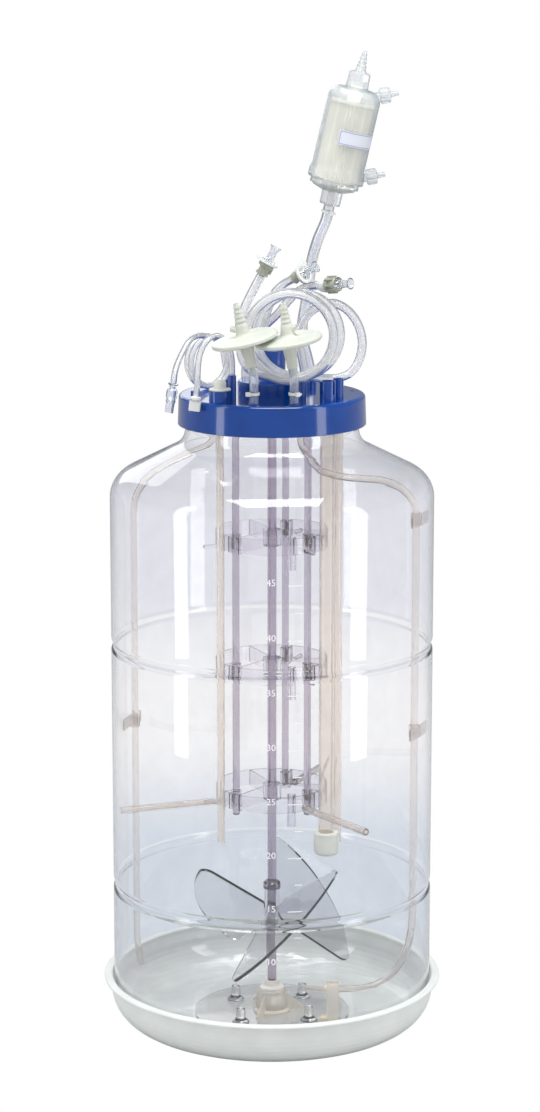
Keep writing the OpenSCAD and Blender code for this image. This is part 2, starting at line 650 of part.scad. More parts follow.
// Snap clip on the wall: a pad that follows the wall, with two arms round the line
module wall_clip(place, z) {
    gap_r = line_d / 2 + 0.15;
    rotate([0, 0, atan2(place[1], place[0])]) translate([0, 0, z - clip_h / 2])
    linear_extrude(clip_h) difference() {
        union() {
            intersection() {
                difference() {
                    circle(r = inner_r - loose);
                    circle(r = inner_r - loose - 1.8);
                }
                translate([line_r - 10, -clip_w / 2]) square([40, clip_w]);
            }
            translate([line_r, 0]) circle(r = gap_r + 1.6);
            translate([line_r, -2]) square([inner_r - loose - 1 - line_r, 4]);
        }
        translate([line_r, 0]) circle(r = gap_r);
        translate([line_r - 12, 0]) rotate([0, 0, 45]) square(14 / sqrt(2) + 1, center = true);
    }
}

module wall_clips() {
    color("#d9c9bb") {
        for (z = sparge_clips) wall_clip(sparge_wall, z);
        for (z = harvest_clips) wall_clip(harvest_wall, z);
    }
}

// Bracket on the foot plate that joins the sparge line to its nozzle
module sparge_bracket() {
    color("#d9c9bb") translate([bracket_at[0], bracket_at[1], foot_z]) difference() {
        union() {
            translate([-6.5, -6, 0]) cube([13, 12, bracket_line_z - foot_z + 6]);
            translate([-15, -6, 0]) cube([15, 12, 4]);
            translate([-6.5, 0, bracket_line_z - foot_z]) rotate([0, -90, 0]) cylinder(r = 5, h = 3);
        }
        translate([4, 0, bracket_line_z - foot_z]) rotate([0, 90, 0]) cylinder(r = line_d / 2 + 0.2, h = 20);
        translate([-20, 0, bracket_line_z - foot_z]) rotate([0, 90, 0]) cylinder(r = 2.6 + fit, h = 16);
        translate([-10, 0, bracket_line_z - foot_z]) rotate([0, 90, 0]) cylinder(r = 1.6, h = 20);
    }
}

module sparge_nozzle() {
    color("#d9c9bb") translate([bracket_at[0] - 33, bracket_at[1], bracket_line_z])
    rotate([0, 90, 0]) difference() {
        rotate_extrude() polygon(concat([[0, 0], [1.9, 0]],
            [for (i = [0:3]) for (p = [[2.6, 3 + 3 * i], [3.3, 3.6 + 3 * i],
            [3.3, 5 + 3 * i], [2.6, 5.6 + 3 * i]]) p], [[2.6, 28.5], [0, 28.5]]));
        translate([0, 0, -eps]) cylinder(r = 1.2, h = 30);
    }
}

// ---------------------------------------------------------------- vent filters

// Places children at the end of a sleeve that bends by a filter's lean
module at_lean(i) {
    at(filter_at[i], sleeve_bend_z) rotate([0, 0, filter_lean[i][1]]) translate([sleeve_bend_r, 0, 0])
        rotate([0, filter_lean[i][0], 0]) translate([-sleeve_bend_r, 0, 0]) children();
}

// Disc filter with a stepped barb above and below and a small side port
module vent_filter(i) {
    mid = sleeve_top + 29;
    color("#e8e8da") at_lean(i) difference() {
        union() {
            translate([0, 0, mid]) rotate_extrude() polygon(concat(
                [[0, -37], [barb_r - 0.9, -37], [barb_r, -34], [barb_r, -29.3], [5.6, -29], [5.9, -20],
                    [7.6, -8]],
                arc(12, -8, 4.4, 180, 96, 4), [[vent_r - 1.5, -2.2]],
                arc(vent_r - 1.6, -0.6, 1.6, -90, 0, 3), arc(vent_r - 1.6, 0.8, 1.6, 0, 90, 3),
                [[vent_r - 4, 2.9], [15, 4]], arc(11.4, 8.4, 4.4, 276, 180, 4),
                barb_steps(6.2, 15, 4.6, 5, 0.55), [[2.7, 38.5], [0, 38.5]]));
            translate([0, 0, mid + 8]) rotate([0, 62, filter_side[i]]) cylinder(r = 3, h = 13);
        }
        translate([0, 0, mid + 20]) cylinder(r = 1.5, h = 30);
        translate([0, 0, -eps]) cylinder(r = 1.6, h = 20);
        translate([0, 0, mid + 8]) rotate([0, 62, filter_side[i]])
            translate([0, 0, 9]) cylinder(r = 1.6, h = 8);
    }
}

module vent_filter_left() { vent_filter(0); }
module vent_filter_right() { vent_filter(1); }

// Route of the sleeve from a headplate barb to its filter: straight, bent by the lean, straight again
function sleeve_route(i, extra) = let (lean = filter_lean[i][0], way = filter_lean[i][1],
    out = [cos(way), sin(way), 0], foot = [filter_at[i][0], filter_at[i][1], sleeve_bend_z],
    top = foot + sleeve_bend_r * (1 - cos(lean)) * out + [0, 0, sleeve_bend_r * sin(lean)])
    concat([[foot[0], foot[1], lid_z + 1.7 - extra]],
        [for (k = [0:2]) let (a = lean * k / 2)
            foot + sleeve_bend_r * (1 - cos(a)) * out + [0, 0, sleeve_bend_r * sin(a)]],
        [top + (sleeve_top - loose + extra) * (sin(lean) * out + [0, 0, cos(lean)])]);

module filter_sleeve(i) {
    color([0.9, 0.93, 0.96, 0.5]) difference() {
        sweep(sleeve_route(i, 0), hose_d / 2, 20);
        sweep(sleeve_route(i, 1), (barb_r + fit) / cos(9), 20);
    }
}

module filter_sleeve_left() { filter_sleeve(0); }
module filter_sleeve_right() { filter_sleeve(1); }

// Cable tie: a band with its head and a cut-off tail
module hose_tie(r, head) {
    band = 1.1;
    tube(r + fit + band, r + fit, 2.6);
    rotate([0, 0, head]) translate([r + band - 0.4, -2.1, -0.7]) cube([3.6, 4.2, 4]);
    rotate([0, 0, head]) translate([r + band + 1, 2, 0.4]) cube([1.2, 2.6, 1.8]);
}

module hose_ties() {
    color("white") {
        at(filter_at[0], lid_z + 10) hose_tie(hose_d / 2, 215);
        at(filter_at[1], lid_z + 10) hose_tie(hose_d / 2, 300);
        at_capsule() translate([0, 0, -9]) hose_tie(exhaust_d / 2, 300);
    }
}

// ---------------------------------------------------------------- capsule filter

// Places children in the capsule filter's own frame, its axis along +Z
module at_capsule() { translate(capsule_at) rotate([0, capsule_lean, 0]) children(); }

shell_z = 20;                               // where the straight shell starts, along the capsule
shell_top = shell_z + 21 + capsule_l;
shell_wall = 2.4;
cavity_z = shell_z + 4;                     // floor of the shell's hollow

module capsule_shell() {
    dome = shell_top + 12;
    neck_z = dome + 15;
    flange_r = capsule_r + 1.8;
    color([0.9, 0.93, 0.92, 0.6]) at_capsule() difference() {
        union() {
            // neck, closure bowl and flange
            rotate_extrude() polygon(concat([[0, 0], [9.8, 0], [10.8, 1], [11, 14]],
                arc(capsule_r - 9, shell_z + 3, 6, -80, 0, 4), [[flange_r - 3, shell_z + 5],
                [flange_r, shell_z + 6], [flange_r, shell_z + 15], [capsule_r, shell_z + 21]],
                arc(capsule_r - 12, shell_top, 12, 0, 80, 6),
                [[11.9, dome + 0.6], [11.3, neck_z]], arc(9.3, neck_z, 2, 0, 80, 3),
                [[6.4, neck_z + 2]], barb_steps(6.2, neck_z + 3, 4.1, 5, 0.7),
                [[2.4, neck_z + 24], [0, neck_z + 24]]));
            for (a = [0:45:315]) rotate([0, 0, a + 20]) translate([flange_r - 5.6, 0, shell_z + 0.5])
                cylinder(r = 3.6, h = 7);
            for (v = valve_faces) translate([v[0], 0, v[1]]) rotate([0, 90 - valve_rise, 0]) {
                translate([0, 0, -v[2]]) cylinder(r = 4.4, h = v[2] - loose);
                translate([0, 0, -v[2]]) cylinder(r = 2.6, h = v[2] + 5);
            }
        }
        // hollow for the cartridge, open up to the outlet barb
        rotate_extrude() polygon([[0, cavity_z], [capsule_r - shell_wall - 3.2, cavity_z],
            [capsule_r - shell_wall, cavity_z + 4], [capsule_r - shell_wall, shell_top - 1],
            [capsule_r - shell_wall - 8, shell_top + 7.5], [7, shell_top + 9],
            [7, shell_top + 20], [0, shell_top + 20]]);
        translate([0, 0, -eps]) cylinder(r = 3, h = cavity_z + 1);
        translate([0, 0, dome + 6]) cylinder(r = 1.4, h = 60);
    }
}

// Pleated cartridge with a moulded cap at each end and a spigot into the outlet neck
module capsule_cartridge() {
    pleats = 48;
    cart_r = capsule_r - shell_wall - 2.2;
    cart_l = shell_top - cavity_z - 1;
    color("#e9e6d6") at_capsule() translate([0, 0, cavity_z]) {
        cylinder(r = cart_r - 1.4, h = 4);
        translate([0, 0, 4 - eps]) linear_extrude(cart_l - 8 + 2 * eps)
            polygon([for (i = [0:2 * pleats - 1]) let (r = i % 2 ? cart_r : cart_r - 2.2)
                r * [cos(180 * i / pleats), sin(180 * i / pleats)]]);
        translate([0, 0, cart_l - 4]) cylinder(r = cart_r + 0.8, h = 4);
        translate([0, 0, cart_l - eps]) cylinder(r = 6.9, h = 15);
    }
}

// Vent valve knob with flutes and a nozzle, turning on the shell's spigot
module capsule_valve(v) {
    color("#dfe4e2") at_capsule() translate([v[0], 0, v[1]]) rotate([0, 90 - valve_rise, 0]) difference() {
        rotate_extrude() polygon([[0, 0], [7, 0], [8.3, 1.4], [8.3, 9.6], [7, 11],
            [2.9, 11.8], [2.5, 19], [2, 20], [0, 20]]);
        for (a = [0:36:324]) rotate([0, 0, a]) translate([9.3, 0, -1]) cylinder(r = 1.7, h = 14);
        translate([0, 0, -1]) cylinder(r = 2.6 + fit, h = 6 + loose);
        cylinder(r = 1.1, h = 40);
    }
}

module capsule_valve_upper() { capsule_valve(valve_faces[1]); }
module capsule_valve_lower() { capsule_valve(valve_faces[0]); }

module exhaust_hose() { color([0.85, 0.88, 0.94, 0.6]) sweep(exhaust_route, exhaust_d / 2); }

// ---------------------------------------------------------------- hoses and connectors

module main_hose_feed() { color([0.88, 0.9, 0.93, 0.6]) sweep(main_feed, hose_d / 2); }

module main_hose_coil() {
    color([0.88, 0.9, 0.93, 0.6]) {
        coil_ring(coil_front, coil_r, hose_d, 2);
        coil_ring(coil_rear, coil_rear_r, hose_d, 1.02);
    }
}

module main_hose_tail() { color([0.88, 0.9, 0.93, 0.6]) sweep(main_tail, hose_d / 2); }

module middle_hose() { color([0.88, 0.9, 0.93, 0.6]) sweep(middle_route, hose_d / 2); }

module right_hose() { color([0.88, 0.9, 0.93, 0.6]) sweep(right_route, hose_d / 2); }

// Grey coupling body: a six-sided hose collar, a flange and a latch tab
module connector_body(ends, tab, barrel = 0) {
    aim(ends[0], ends[1]) translate([0, 0, barrel]) difference() {
        union() {
            linear_extrude(3) circle(r = 6.6, $fn = 6);
            rotate_extrude() polygon([[0, 0], [5.6, 0], [5.6, 8], [7.2, 9], [8.4, 9.6], [8.4, 13], [0, 13]]);
            rotate([0, 0, tab]) translate([6.5, -3.4, 3]) cube([5.2, 6.8, 9]);
        }
        translate([0, 0, 4]) cylinder(r = 3, h = 20);
    }
}

// Clear funnel end, hollow, flaring to its open mouth
module connector_funnel(ends, start = 15) {
    color([0.85, 0.9, 0.93, 0.6]) aim(ends[0], ends[1]) translate([0, 0, start]) difference() {
        rotate_extrude() polygon(concat([[0, 0], [7.4, 0], [7.4, 1.5], [5.4, 3], [4.4, 4], [3.9, 10]],
            [for (i = [1:4]) [3.9 + 2.2 * i * i / 16, 10 + 7 * i / 4]], [[0, 17]]));
        translate([0, 0, -eps]) rotate_extrude() polygon(concat([[0, 0], [2.7, 0], [2.7, 10]],
            [for (i = [1:4]) [2.7 + 2.2 * i * i / 16, 10 + 7.1 * i / 4]], [[0, 17.1]]));
    }
}

// Ribbed grey collar of the right-hand coupling, in front of its white barrel
module connector_collar(ends) {
    aim(ends[0], ends[1]) translate([0, 0, barrel_l]) difference() {
        union() {
            rotate_extrude() polygon([[0, 0], [7.6, 0], [8.2, 1], [8.2, 4], [6.6, 5], [6.6, 8],
                [8, 9], [8, 12.5],
                [7.2, 13.5], [0, 13.5]]);
            for (a = [0:45:315]) rotate([0, 0, a]) translate([7, -1.3, 1]) cube([2.2, 2.6, 11]);
        }
        translate([0, 0, -eps]) cylinder(r = 3, h = 20);
    }
}

module left_connector() { color("#868a7e") connector_body(left_ends, 60); }
module middle_connector() { color("#868a7e") connector_body(middle_ends, 60); }
module right_connector() { color("#868a7e") connector_collar(right_ends); }
module left_connector_funnel() { connector_funnel(left_ends); }
module middle_connector_funnel() { connector_funnel(middle_ends); }
module right_connector_funnel() { connector_funnel(right_ends, barrel_l + 13.5); }

// White gaskets between the bodies and the funnels, and the white barrel of the right-hand one
module connector_seals() {
    color("white") {
        for (e = [left_ends, middle_ends]) aim(e[0], e[1]) translate([0, 0, 13]) {
            tube(11.2, 2.9, 2);
            rotate([0, 0, 150]) translate([10, -3.5, 0.4]) cube([5, 7, 1.2]);
        }
        aim(right_ends[0], right_ends[1]) difference() {
            rotate_extrude() polygon(concat([[0, 0], [5.6, 0], [6, 1.5], [7.2, 3]],
                [[7.4, 5], [7.4, barrel_l]], [[0, barrel_l]]));
            translate([0, 0, 6]) cylinder(r = 3, h = 30);
        }
    }
}

module thin_hose_start() { color([0.9, 0.92, 0.94, 0.6]) sweep(thin_start, thin_hose_d / 2, 8); }

module thin_hose_coil() {
    color([0.9, 0.92, 0.94, 0.6]) coil_ring(thin_coil, thin_coil_r, thin_hose_d, 2, thin_coil_turn);
}

module thin_hose_tail() { color([0.9, 0.92, 0.94, 0.6]) sweep(thin_tail, thin_hose_d / 2, 8); }

module plug_hose() { color([0.9, 0.92, 0.94, 0.6]) sweep(plug_route, thin_hose_d / 2, 8); }

// Clear quick connector hanging on the thin hose, open at its lower end
module quick_connector() {
    color([0.8, 0.85, 0.92, 0.6]) aim(quick_ends[0], quick_ends[1]) difference() {
        rotate_extrude() polygon([[0, 0], [5.2, 0], [5.2, 1.8], [3.4, 2.4], [3.4, 5], [5.6, 7.5], [5.9, 9],
            [5.9, 14], [5, 17], [5, 18], [5.3, 18.4], [5.3, 20], [4.7, 20.6], [4.5, 31], [0, 31]]);
        translate([0, 0, 8]) cylinder(r = 3.2, h = 30);
        translate([0, 0, 3]) cylinder(r = 1.6, h = 30);
    }
}

// White plug: a flange on the hose's end and a square-shouldered grip
module hose_plug() {
    color("white") aim(plug_ends[0], plug_ends[1]) {
        rotate_extrude() polygon([[0, 0], [3, 0], [5.6, 1], [5.6, 3], [3.2, 4], [3.2, 5.5], [0, 5.5]]);
        translate([0, 0, 5.4]) linear_extrude(9.6)
            polygon(rounded([[-6, -4], [6, -4], [6, 4], [-6, 4]], 2, 3));
    }
}

module septum_cap() {
    color("#efeee4") at(septum_at, lid_z + septum_boss_h) rotate_extrude() polygon(concat(
        [[0, -6], [septum_plug_r - 0.8, -6], [septum_plug_r, -5], [septum_plug_r, 0], [11, 0]],
        arc(10.6, 1, 0.8, -60, 90, 3), [[6.4, 2.6]], arc(2.8, 7, 3.8, -10, 68, 4), [[0, 11]]));
}

base_tray();
vessel();
headplate();
neck_seal();
magnet_cup();
pivot_bush();
agitator_shaft();
impeller();
shaft_collar();
foot_plate();
foot_bearing();
foot_bush();
spider_upper();
spider_middle();
spider_lower();
support_rod_front_left();
support_rod_front_right();
support_rod_rear();
stay_arm_left();
stay_arm_right();
stay_arm_rear();
septum_tube();
septum_cap();
probe_sleeve();
probe_sleeve_cap();
thermowell();
sparge_line();
harvest_line();
wall_clips();
sparge_bracket();
sparge_nozzle();
vent_filter_left();
vent_filter_right();
filter_sleeve_left();
filter_sleeve_right();
hose_ties();
capsule_shell();
capsule_cartridge();
capsule_valve_upper();
capsule_valve_lower();
exhaust_hose();
main_hose_feed();
main_hose_coil();
main_hose_tail();
left_connector();
left_connector_funnel();
middle_hose();
middle_connector();
middle_connector_funnel();
right_hose();
right_connector();
right_connector_funnel();
connector_seals();
thin_hose_start();
thin_hose_coil();
thin_hose_tail();
quick_connector();
plug_hose();
hose_plug();
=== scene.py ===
"""Bench bioreactor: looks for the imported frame. Lengths are in metres unless a name ends in mm."""
import math

import bpy
import numpy as np
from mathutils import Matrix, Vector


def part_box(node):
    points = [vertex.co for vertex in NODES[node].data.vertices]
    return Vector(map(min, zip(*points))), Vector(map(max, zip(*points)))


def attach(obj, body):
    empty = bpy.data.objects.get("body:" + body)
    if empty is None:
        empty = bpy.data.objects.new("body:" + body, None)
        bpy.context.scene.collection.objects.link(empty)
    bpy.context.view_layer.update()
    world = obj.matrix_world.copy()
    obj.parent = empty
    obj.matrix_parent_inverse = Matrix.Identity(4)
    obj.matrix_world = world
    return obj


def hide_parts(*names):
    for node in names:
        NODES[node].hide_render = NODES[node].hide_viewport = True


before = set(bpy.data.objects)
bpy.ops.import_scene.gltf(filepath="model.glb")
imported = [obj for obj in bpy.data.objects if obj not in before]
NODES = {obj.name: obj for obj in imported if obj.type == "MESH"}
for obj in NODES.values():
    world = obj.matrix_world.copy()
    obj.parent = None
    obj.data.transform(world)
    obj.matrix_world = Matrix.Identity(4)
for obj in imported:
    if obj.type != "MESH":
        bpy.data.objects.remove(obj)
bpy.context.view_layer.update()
MM = 0.001


# ------------------------------------------------------------------ shader nodes


class Value:
    """A node's output that can be calculated with: each operator adds its Math node."""

    def __init__(self, tree, socket):
        self.tree, self.socket = tree, socket

    def maths(self, operation, *others, first=None):
        """The Math node's result for this value, or for first if it is given, and the others."""
        inputs = [self if first is None else first, *others]
        return self.tree.node("Math", {"operation": operation}, dict(enumerate(inputs)))

    def __add__(self, other):
        return self.maths("ADD", other)

    def __mul__(self, other):
        return self.maths("MULTIPLY", other)

    def __sub__(self, other):
        return self.maths("SUBTRACT", other)

    def __rsub__(self, other):
        return self.maths("SUBTRACT", self, first=other)

    def __truediv__(self, other):
        return self.maths("DIVIDE", other)

    __radd__, __rmul__ = __add__, __mul__

    def clamped(self):
        """Held between 0 and 1."""
        return self.maths("MINIMUM", 1.0).maths("MAXIMUM", 0.0)

    def ramp(self, low, high):
        """0 below low, 1 above high, straight between."""
        return ((self - low) / (high - low)).clamped()


class Tree:
    """A node tree that is built from node() calls."""

    def __init__(self, owner):
        owner.use_nodes = True
        self.owner, self.tree = owner, owner.node_tree
        self.tree.nodes.clear()

    def node(self, kind, settings=None, sockets=None, out=0):
        """Adds a node: its settings first, then the values or links of its sockets."""
        made = self.tree.nodes.new("ShaderNode" + kind)
        for key, value in (settings or {}).items():
            setattr(made, key, value)
        for key, value in (sockets or {}).items():
            if isinstance(value, Value):
                self.tree.links.new(value.socket, made.inputs[key])
            else:
                made.inputs[key].default_value = value
        return Value(self, made.outputs[out])

    def ray(self, kind):
        """1 for a ray of this kind, such as Camera or Shadow, and 0 for the others."""
        return self.node("LightPath", out="Is " + kind + " Ray")

    def seen_through(self):
        """1 for a ray that has come through clear plastic without lighting anything dull."""
        lit = self.node("LightPath", out="Diffuse Depth")
        return self.ray("Transmission") * (1 - lit.clamped())

    def either(self, one, other, share):
        """Two shaders, the second one with this share."""
        return self.node("MixShader", None, {0: share, 1: one, 2: other})

    def mixed(self, amount, low, high):
        """A colour between two colours."""
        return self.node("Mix", {"data_type": "RGBA"}, {0: amount, 6: low, 7: high}, out=2)

    def done(self, shader, kind="OutputMaterial"):
        """Links the finished shader to the output and gives back the material or world."""
        end = self.tree.nodes.new("ShaderNode" + kind)
        self.tree.links.new(shader.socket, end.inputs["Surface"])
        return self.owner


class Finish(Tree):
    """One procedural material."""

    def __init__(self, name):
        super().__init__(bpy.data.materials.new(name))

    def place(self):
        """Where a point lies on its object, in metres."""
        return self.node("TexCoord", out=3)

    def noise(self, scale, detail):
        """Cloudy grey with this many clouds to the metre, and this many finer layers over them."""
        sockets = {"Vector": self.place(), "Scale": scale, "Detail": detail, "Roughness": 0.5}
        return self.node("TexNoise", None, sockets)

    def bump(self, height, strength, distance_mm):
        """The surface's direction, tilted as if it rose with the height by up to this distance."""
        return self.node("Bump", None, {"Height": height, "Strength": strength, "Distance": distance_mm * MM})

    def away(self):
        """0 where the surface faces the eye, 1 where it turns away."""
        return self.node("LayerWeight", None, {"Blend": 0.5}, out=1)

    def principled(self, **sockets):
        """The main shader, with its sockets by name."""
        return self.node("BsdfPrincipled", None, {k.replace("_", " "): v for k, v in sockets.items()})

    def lets_lamps_in(self, shader, tint):
        """Leaves the shader as it is to the eye, and lets the lamps' light through to what is inside."""
        clear_way = self.node("BsdfTransparent", None, {"Color": tint})
        return self.done(self.either(shader, clear_way, self.ray("Shadow")))


# ------------------------------------------------------------------ camera and light

CAMERA_PLACE = (-0.0021, -3.202, 1.158)
CAMERA_DOWN = 11.41         # degrees below level
LENS_MM, SENSOR_MM = 99.81, 36
# name, place, aimed at, width, height, watts
BOXES = (
    ("left_box", (-1.25, -0.62, 0.78), (0, 0, 0.78), 0.26, 1.5, 3.4),
    ("right_box", (1.2, -0.68, 0.78), (0, 0, 0.78), 0.3, 1.5, 3.8),
    ("top_box", (0.1, -0.6, 2.6), (0, 0, 0.6), 1.6, 1.2, 40),
    ("rear_box", (-0.6, 2.2, 1.6), (0, 0, 0.6), 1.4, 1.4, 6),
)
# name, colour, strength
SURROUND = (
    ("white", (1, 1, 1, 1), 1.0), ("backdrop", (0.83, 0.83, 0.89, 1), 1.0),
    ("overhead", (1, 1, 1, 1), 0.2), ("mirrored", (0.88, 0.93, 1, 1), 0.3),
    ("lighting", (0.97, 0.98, 1, 1), 0.8),
)
OVERHEAD_FROM, OVERHEAD_TO = 0.1, 0.35      # upward part of a direction where the overhead begins and is full


def surround():
    """White all round for what is seen directly or through clear plastic, darker overhead there, and
    dimmer for what is mirrored or lit."""
    sky = Tree(bpy.data.worlds.new("surround"))
    up = sky.node("SeparateXYZ", None, {0: sky.node("TexCoord")}, out=2)
    light = {name: sky.node("Background", None, {"Color": colour, "Strength": strength})
             for name, colour, strength in SURROUND}
    through = sky.either(light["backdrop"], light["overhead"], up.ramp(OVERHEAD_FROM, OVERHEAD_TO))
    lit = sky.node("LightPath", out="Diffuse Depth").clamped()
    indirect = sky.either(light["mirrored"], light["lighting"], lit)
    unseen = sky.either(indirect, through, sky.seen_through())
    bpy.context.scene.world = sky.done(sky.either(unseen, light["white"], sky.ray("Camera")), "OutputWorld")


def studio():
    """The camera, the surround, and soft boxes that the camera doesn't see."""
    scene = bpy.context.scene
    scene.view_settings.view_transform = "Standard"
    scene.cycles.transparent_max_bounces = 32
    lens = bpy.data.cameras.new("camera")
    lens.sensor_width, lens.lens = SENSOR_MM, LENS_MM
    lens.clip_end = 100
    camera = bpy.data.objects.new("camera", lens)
    camera.location = CAMERA_PLACE
    camera.rotation_euler = (math.radians(90 - CAMERA_DOWN), 0, 0)
    scene.collection.objects.link(camera)
    scene.camera = camera

    surround()
    for name, place, target, width, height, watts in BOXES:
        lamp = bpy.data.lights.new(name, "AREA")
        lamp.shape = "RECTANGLE"
        lamp.size, lamp.size_y, lamp.energy = width, height, watts
        holder = bpy.data.objects.new(name, lamp)
        holder.location = place
        away = [p - t for p, t in zip(place, target)]
        flat = math.hypot(away[0], away[1])
        holder.rotation_euler = (math.atan2(flat, away[2]), 0, math.atan2(away[0], -away[1]))
        holder.visible_camera = False
        scene.collection.objects.link(holder)


studio()

# ------------------------------------------------------------------ surfaces


def surface(name, points, faces):
    """A smooth mesh piece from arrays of points in metres and of faces."""
    mesh = bpy.data.meshes.new(name)
    mesh.from_pydata(np.asarray(points, float).tolist(), [], [list(map(int, f)) for f in faces])
    mesh.polygons.foreach_set("use_smooth", np.ones(len(mesh.polygons), bool))
    mesh.update()
    piece = bpy.data.objects.new(name, mesh)
    bpy.context.scene.collection.objects.link(piece)
    return piece


def grid_faces(rows, columns, around=True, looped=False):
    """Quads between the rows of a grid, closed round its columns if it goes around, and from its last
    row back to its first if it is looped."""
    down, across = rows if looped else rows - 1, columns if around else columns - 1
    i, j = np.meshgrid(np.arange(down), np.arange(across), indexing="ij")
    beside, above = (j + 1) % columns, (i + 1) % rows
    quads = [i * columns + j, i * columns + beside, above * columns + beside, above * columns + j]
    return np.stack(quads, -1).reshape(-1, 4)


def unit(v):
    """Each vector divided by its length."""
    return v / np.linalg.norm(v, axis=-1, keepdims=True)


def through(points_mm, step_mm=2.0):
    """A smooth line through points: on each span, a cubic whose slope at a point is the slope of the
    parabola through it and its neighbours, spaced by the square root of the chords, then cut into
    equal steps."""
    p = np.array(points_mm, float)
    p = np.vstack([2 * p[0] - p[1], p, 2 * p[-1] - p[-2]])
    t = np.concatenate([[0], np.cumsum(np.sqrt(np.linalg.norm(np.diff(p, axis=0), axis=1)))])
    slope = (p[1:] - p[:-1]) / np.diff(t)[:, None]
    gap = np.diff(t)
    m = (slope[:-1] * gap[1:, None] + slope[1:] * gap[:-1, None]) / (gap[1:] + gap[:-1])[:, None]
    s = np.linspace(0, 1, 24, endpoint=False)[None, :, None]
    a, b, h = p[1:-2, None], p[2:-1, None], gap[1:-1, None, None]
    ma, mb = m[:-1, None] * h, m[1:, None] * h
    line = ((2 * s**3 - 3 * s**2 + 1) * a + (s**3 - 2 * s**2 + s) * ma
            + (3 * s**2 - 2 * s**3) * b + (s**3 - s**2) * mb).reshape(-1, 3)
    line = np.vstack([line, p[-2]])
    far = np.concatenate([[0], np.cumsum(np.linalg.norm(np.diff(line, axis=0), axis=1))])
    even = np.linspace(0, far[-1], max(8, int(far[-1] / step_mm)))
    return np.stack([np.interp(even, far, line[:, k]) for k in range(3)], 1)


BORE = 0.64         # a hose's bore as a share of its width
LIP = 0.82          # width of the crest of a hose's end, halfway through its wall
LIP_MM = 0.25       # height of that crest


def hose_surface(name, line_mm, radius_mm, across, sides=20):
    """A round hose with its bore: at each point of its line, circles of the outer radius and of the
    bore's, in the plane square to the line, and a rounded lip between them at both ends. The rows of
    circles run out along the wall and back along the bore. Its map runs along the hose and round it."""
    line = np.asarray(line_mm, float)
    ahead = unit(np.gradient(line, axis=0))
    side = unit(np.cross(ahead, across))
    up = np.cross(ahead, side)
    turn = np.linspace(0, 2 * np.pi, sides, endpoint=False)
    ring = np.cos(turn)[None, :, None] * side[:, None] + np.sin(turn)[None, :, None] * up[:, None]
    far = np.concatenate([[0], np.cumsum(np.linalg.norm(np.diff(line, axis=0), axis=1))])
    wall, bore = (line[:, None] + share * radius_mm * ring for share in (1, BORE))
    lips = [line[end] + LIP * radius_mm * ring[end] + LIP_MM * way * ahead[end]
            for end, way in ((0, -1), (-1, 1))]
    points = np.vstack([lips[0][None], wall, lips[1][None], bore[::-1]])
    piece = surface(name, points.reshape(-1, 3) * MM, grid_faces(len(points), sides, looped=True)[:, ::-1])
    along = np.concatenate([far[:1], far, far[-1:], far[::-1]]) * MM
    corner = np.empty(len(piece.data.loops), int)
    piece.data.loops.foreach_get("vertex_index", corner)
    places = np.stack([along[corner // sides], (corner % sides) / sides], 1)
    piece.data.uv_layers.new(name="along").data.foreach_set("uv", places.ravel())
    return piece


# ------------------------------------------------------------------ hoses that hang free

PORT_TOP_MM, TALL_PORT_TOP_MM = 694.116, 709.116    # heights where the hoses leave their ports
HOSE_MM, THIN_MM, EXHAUST_MM = 9.5, 6.4, 11.5       # outer diameters
# the long hose's coil: its first and last turn, their radius, its centre, the angle where it starts,
# how far it moves over after the first turn, and where, how fast and how far round the last part rolls
MAIN_TURNS = (0.05, 3.317)
MAIN_TURN_MM = 44
MAIN_CENTRE_MM = (27, -10.1, 750.1)
MAIN_START = -75            # degrees
MAIN_OVER_MM = 8.4
ROLL_FROM, ROLL_WITHIN, ROLL = 3.111, 0.15, 120     # turns, turns and degrees
# the thin hose's coil: its first and last turn, their radius, its centre, the turn that lies level with
# the centre as the hose drifts forward, and the level directions along its turns and square to them
THIN_TURNS = (0.04, 2.25)
THIN_TURN_MM = 26
THIN_CENTRE_MM = (-68, 30, 715.6)
THIN_MIDDLE_TURN = 0.75
THIN_OUT, THIN_FACE = (0.766, 0.643, 0), (0.643, -0.766, 0)
# each far end: where the hose ends, and a point further along it, inside what is pushed onto it
LEFT_END_MM = ((-11, -29, 813.6), (4, -29, 841.6))
MIDDLE_END_MM = ((23, 7, 806), (44, -10, 819))
RIGHT_END_MM = ((50, 2, 799), (77, -20, 803))
QUICK_END_MM = ((-102, -38, 702), (-107, -38, 671))
PLUG_END_MM = ((-78, -70, 693), (-80, -70, 678))


def lead(ends, far):
    """The last two points of a hose, in line with the end that it is pushed into: the first one lies
    far short of it."""
    start, end = np.array(ends, float)
    return [(start - far * (end - start) / np.linalg.norm(end - start)).tolist(), start.tolist()]


def eased(x):
    """0 before 0, 1 after 1, and a smooth rise between: 3 x squared less 2 x cubed."""
    x = np.clip(x, 0, 1)
    return x * x * (3 - 2 * x)


